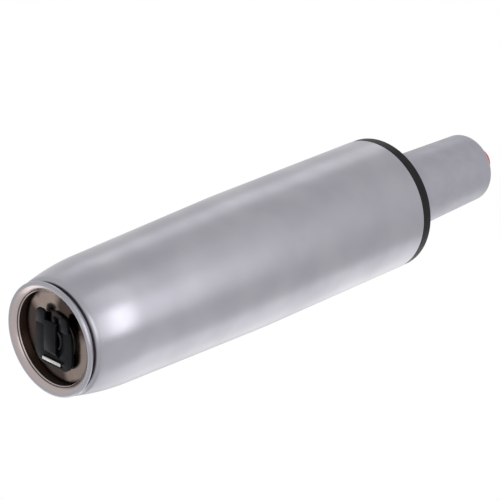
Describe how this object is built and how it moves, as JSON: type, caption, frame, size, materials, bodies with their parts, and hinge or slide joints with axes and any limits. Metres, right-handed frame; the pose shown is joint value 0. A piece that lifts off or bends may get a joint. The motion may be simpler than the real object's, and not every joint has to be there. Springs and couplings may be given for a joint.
{
  "type": "chair gas lift cylinder",
  "caption": "Gas lift for a swivel chair: tapered steel column with a rolled bottom lip and plastic guide, sliding gas cylinder with tapered seat end, release button and thrust bearing.",
  "frame": {"origin": "centre of the bottom rim, on the plane that the rolled lip stands on", "axes": "+Z along the lift axis towards the release button; +X along the picture's right-hand side of the bottom opening"},
  "size_m": [0.05, 0.05, 0.226],
  "materials": {
    "satin_chrome": "satin chrome plate on a steel tube",
    "brown_plate": "glossy brown passivated steel",
    "washer_steel": "dull zinc plated",
    "spring_steel": "black oxide, oiled",
    "guide_plastic": "moulded black, fine satin",
    "grey_tube": "matt grey coat",
    "button_plastic": "moulded red",
    "bearing_steel": "ground and hardened",
    "rod_steel": "ground and hard chrome plated",
    "inner_steel": "drawn steel tube",
    "cage_plastic": "natural moulded",
    "seal_rubber": "smooth black",
    "piston_alloy": "turned",
    "valve_brass": "turned"
  },
  "bodies": {
    "column": {"column_tube": "satin_chrome", "base_plate": "brown_plate", "lower_race": "bearing_steel", "guide_bushing": "guide_plastic"},
    "bearing": {"ball_cage": "cage_plastic", "bearing_balls": "bearing_steel"},
    "rod": {"piston_rod": "rod_steel", "upper_race": "bearing_steel", "rubber_bumper": "seal_rubber", "bumper_washer": "washer_steel", "clip_washer": "washer_steel", "retaining_clip": "spring_steel", "piston": "piston_alloy", "piston_ring": "seal_rubber", "piston_washer": "washer_steel", "piston_nut": "washer_steel"},
    "gas_cylinder": {"pressure_tube": "grey_tube", "rod_guide": "guide_plastic", "rod_seal": "seal_rubber", "seal_washer": "washer_steel", "centring_ring": "cage_plastic", "inner_tube": "inner_steel", "stroke_spacer": "cage_plastic", "valve_body": "valve_brass", "spigot_o_ring": "seal_rubber", "body_o_rings": "seal_rubber", "pin_seal": "seal_rubber", "pin_seal_bush": "cage_plastic"},
    "release": {"release_pin": "bearing_steel", "release_button": "button_plastic"}
  },
  "joints": [
    {"name": "swivel", "type": "hinge", "parent": "column", "child": "rod", "pos_m": [0, 0, 0.0127], "axis": [0, 0, 1], "continuous": true},
    {"name": "bearing_turn", "type": "hinge", "parent": "column", "child": "bearing", "pos_m": [0, 0, 0.0097], "axis": [0, 0, 1], "continuous": true},
    {"name": "lift", "type": "slide", "parent": "rod", "child": "gas_cylinder", "axis": [0, 0, 1], "range_m": [0, 0.08]},
    {"name": "release", "type": "slide", "parent": "gas_cylinder", "child": "release", "axis": [0, 0, -1], "range_m": [0, 0.0035], "stiffness_N_per_m": 2500}
  ],
  "couplings": [
    {"joint": "bearing_turn", "follows": "swivel", "ratio": 0.5}
  ]
}
